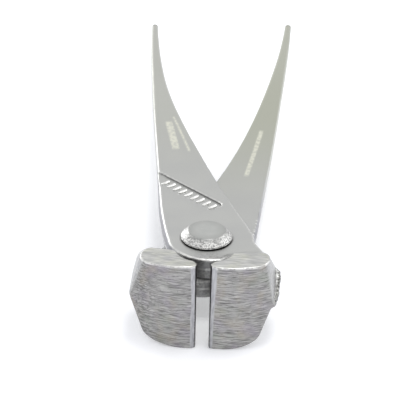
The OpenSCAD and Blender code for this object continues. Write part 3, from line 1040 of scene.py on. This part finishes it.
def seen_directly(tree):
    """1 for rays from the camera, from gloss and through clear parts, else 0."""
    path = add(tree, "ShaderNodeLightPath")
    seen = add(tree, "ShaderNodeMath", {0: path.outputs["Is Camera Ray"], 1: path.outputs["Is Glossy Ray"]},
               operation="MAXIMUM")
    return add(tree, "ShaderNodeMath", {0: seen.outputs[0], 1: path.outputs["Is Transmission Ray"]},
               operation="MAXIMUM").outputs[0]


def set_world():
    """A soft dome of light that is seen as plain white."""
    world = bpy.data.worlds.new("studio")
    bpy.context.scene.world = world
    world.use_nodes = True
    tree = world.node_tree
    tree.nodes.clear()
    fill = add(tree, "ShaderNodeBackground", {"Color": linear("#F6F8FF"), "Strength": 0.85})
    white = add(tree, "ShaderNodeBackground", {"Color": (1, 1, 1, 1), "Strength": 1.0})
    shown = add(tree, "ShaderNodeMixShader", {
        0: seen_directly(tree), 1: fill.outputs[0], 2: white.outputs[0]})
    add(tree, "ShaderNodeOutputWorld", {"Surface": shown.outputs[0]})


def make_floor():
    """White paper under the tool, which keeps its shadow."""
    half = 1.5
    mesh = bpy.data.meshes.new("floor")
    corners = [(-half, -half, 0), (half, -half, 0), (half, half, 0), (-half, half, 0)]
    mesh.from_pydata(corners, [], [(0, 1, 2, 3)])
    floor = bpy.data.objects.new("floor", mesh)
    bpy.context.scene.collection.objects.link(floor)
    material, tree = new_material("white_paper")
    paper = add(tree, "ShaderNodeBsdfDiffuse", {"Color": linear("#F2F2F2")})
    glow = add(tree, "ShaderNodeEmission", {"Color": (1, 1, 1, 1), "Strength": 0.25})
    lit = add(tree, "ShaderNodeAddShader", {0: paper.outputs[0], 1: glow.outputs[0]})
    shown = add(tree, "ShaderNodeMixShader", {
        0: seen_directly(tree), 1: paper.outputs[0], 2: lit.outputs[0]})
    add(tree, "ShaderNodeOutputMaterial", {"Surface": shown.outputs[0]})
    mesh.materials.append(material)


def add_softbox(name, place, size, power, color):
    """A rectangular lamp that faces the pivot. Its place is in metres from the pivot."""
    data = bpy.data.lights.new(name, "AREA")
    data.shape = "RECTANGLE"
    data.size, data.size_y = size
    data.energy = power
    data.color = linear(color)[:3]
    lamp = bpy.data.objects.new(name, data)
    bpy.context.scene.collection.objects.link(lamp)
    lamp.location = PIVOT + Vector(place)
    lamp.rotation_euler = Vector(place).to_track_quat("Z", "Y").to_euler()


bpy.context.scene.view_settings.view_transform = "Standard"
place_camera()
set_world()
make_floor()
add_softbox("overhead_softbox", (0.09, 0.02, 0.69), (0.17, 0.17), 1.1, "#FFFFFF")
add_softbox("left_softbox", (-0.36, 0.43, 0.13), (0.26, 0.2), 0.75, "#FFFFFF")
add_softbox("right_softbox", (0.42, 0.2, 0.3), (0.18, 0.18), 0.28, "#FFFFFF")

# How the two forgings differ, with sizes in mm. "turn" is 1 for the upper lever and -1 for the lower one,
# which lies face down. The first row says which features a lever has. The next two shape the jaw's sides:
# how far out they are, how they spread and draft, where their parting line is, how far the lower die sits
# inwards, and their corner's rounding. The fourth shapes the rest of the jaw: its bevel's widths at the
# bottom and top, how much deeper its end gets, how far its toe rises and its front leans, and its
# shoulder's rounding at the top and below. Then come the range of slopes that counts as the front face,
# the warmth of the tone, and the lighter patches: the ends of their middle lines and half their widths.
UPPER = {
    "turn": 1, "recess": True, "flash": True, "rim_worn_and_highlit": 1, "chip": 0, "pitted": 0,
    "side_out": -0.7, "spread": math.radians(10.5), "draft_up": math.radians(8.5),
    "parting": -0.5, "die_step": 0.4, "corner_round": 2.2,
    "bevel": (0.3, 1.0), "end_widens": 0.0, "toe": 0.0, "crown_lean": 0.6, "shoulder_round": (1.8, 5.0),
    "front_from": (0.45, 0.75), "warm": 0.4,
    "etched": [((-11.2, 86.3), (-8.6, 60.9), 1.3), ((-9.3, 91.3), (-3.9, 58.9), 0.4)]}
LOWER = {
    "turn": -1, "recess": False, "flash": False, "rim_worn_and_highlit": 0, "chip": 1, "pitted": 1,
    "side_out": 0.4, "spread": math.radians(4.5), "draft_up": math.radians(15),
    "parting": 1.4, "die_step": 0.0, "corner_round": 2.4,
    "bevel": (0.35, 0.75), "end_widens": 0.07, "toe": 0.8, "crown_lean": 2.5, "shoulder_round": (3.0, 3.0),
    "front_from": (0.55, 0.8), "warm": 0.9,
    "etched": [((-11.6, 91.2), (-8.2, 54.4), 0.8)]}

steel = lever_steel()
for node, body, lever in (("upper_lever", "upper_body", UPPER), ("lower_lever", "lower_body", LOWER)):
    forging = make_lever(node + "_forging", lever, steel)
    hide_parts(node)
    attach(forging, body)

rivet = make_rivet(rivet_steel())
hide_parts("rivet")
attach(rivet, "lower_body")

bars = make_bars(UPPER, bar_steel())
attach(bars, "upper_body")
